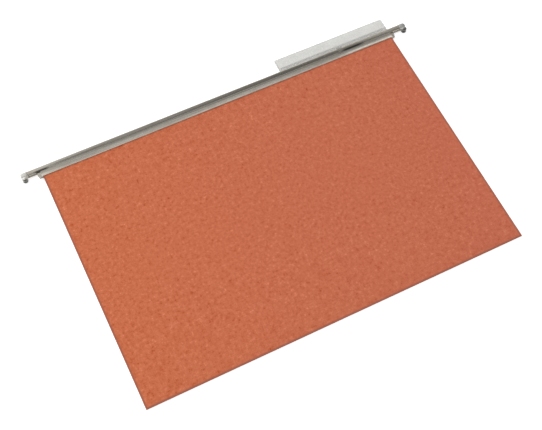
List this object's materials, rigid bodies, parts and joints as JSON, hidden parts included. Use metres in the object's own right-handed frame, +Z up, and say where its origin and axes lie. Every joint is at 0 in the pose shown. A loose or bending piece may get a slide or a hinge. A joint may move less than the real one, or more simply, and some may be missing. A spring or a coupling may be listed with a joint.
{
  "type": "hanging file folder",
  "caption": "Hanging file folder: card cover folded along its base, with hook-ended steel rails on its top edges and a clear label tab that slides along the front rail.",
  "frame": {"origin": "on the surface that the shut folder lies on, under the middle of its box", "axes": "+X along the rails, to the right in the picture; +Y from the bottom fold up to the rails; +Z up, out of the front panel"},
  "size_m": [0.4038, 0.265, 0.0069],
  "materials": {
    "cover_card": "uncoated orange card with a fine mottled fibre",
    "rail_steel": "bright plated rolled steel",
    "tip_nylon": "grey nylon, smooth",
    "tab_plastic": "clear flexible plastic, slightly frosted",
    "label_card": "plain white card, blank"
  },
  "bodies": {
    "back": {"back_panel": "cover_card", "bottom_fold": "cover_card", "rear_rail": "rail_steel", "rear_left_hook": "tip_nylon", "rear_right_hook": "tip_nylon"},
    "front": {"front_panel": "cover_card", "front_rail": "rail_steel", "front_left_hook": "tip_nylon", "front_right_hook": "tip_nylon"},
    "tab": {"tab_sleeve": "tab_plastic"},
    "label": {"label_insert": "label_card"}
  },
  "joints": [
    {"name": "front_fold", "type": "hinge", "parent": "back", "child": "front", "pos_m": [0, -0.13179, 0.00075], "axis": [1, 0, 0], "range_deg": [0, 178.7]},
    {"name": "tab_slide", "type": "slide", "parent": "front", "child": "tab", "axis": [1, 0, 0], "range_m": [-0.2476, 0.0004]},
    {"name": "label_slide", "type": "slide", "parent": "tab", "child": "label", "axis": [1, 0, 0], "range_m": [-0.1, 0.1]}
  ]
}
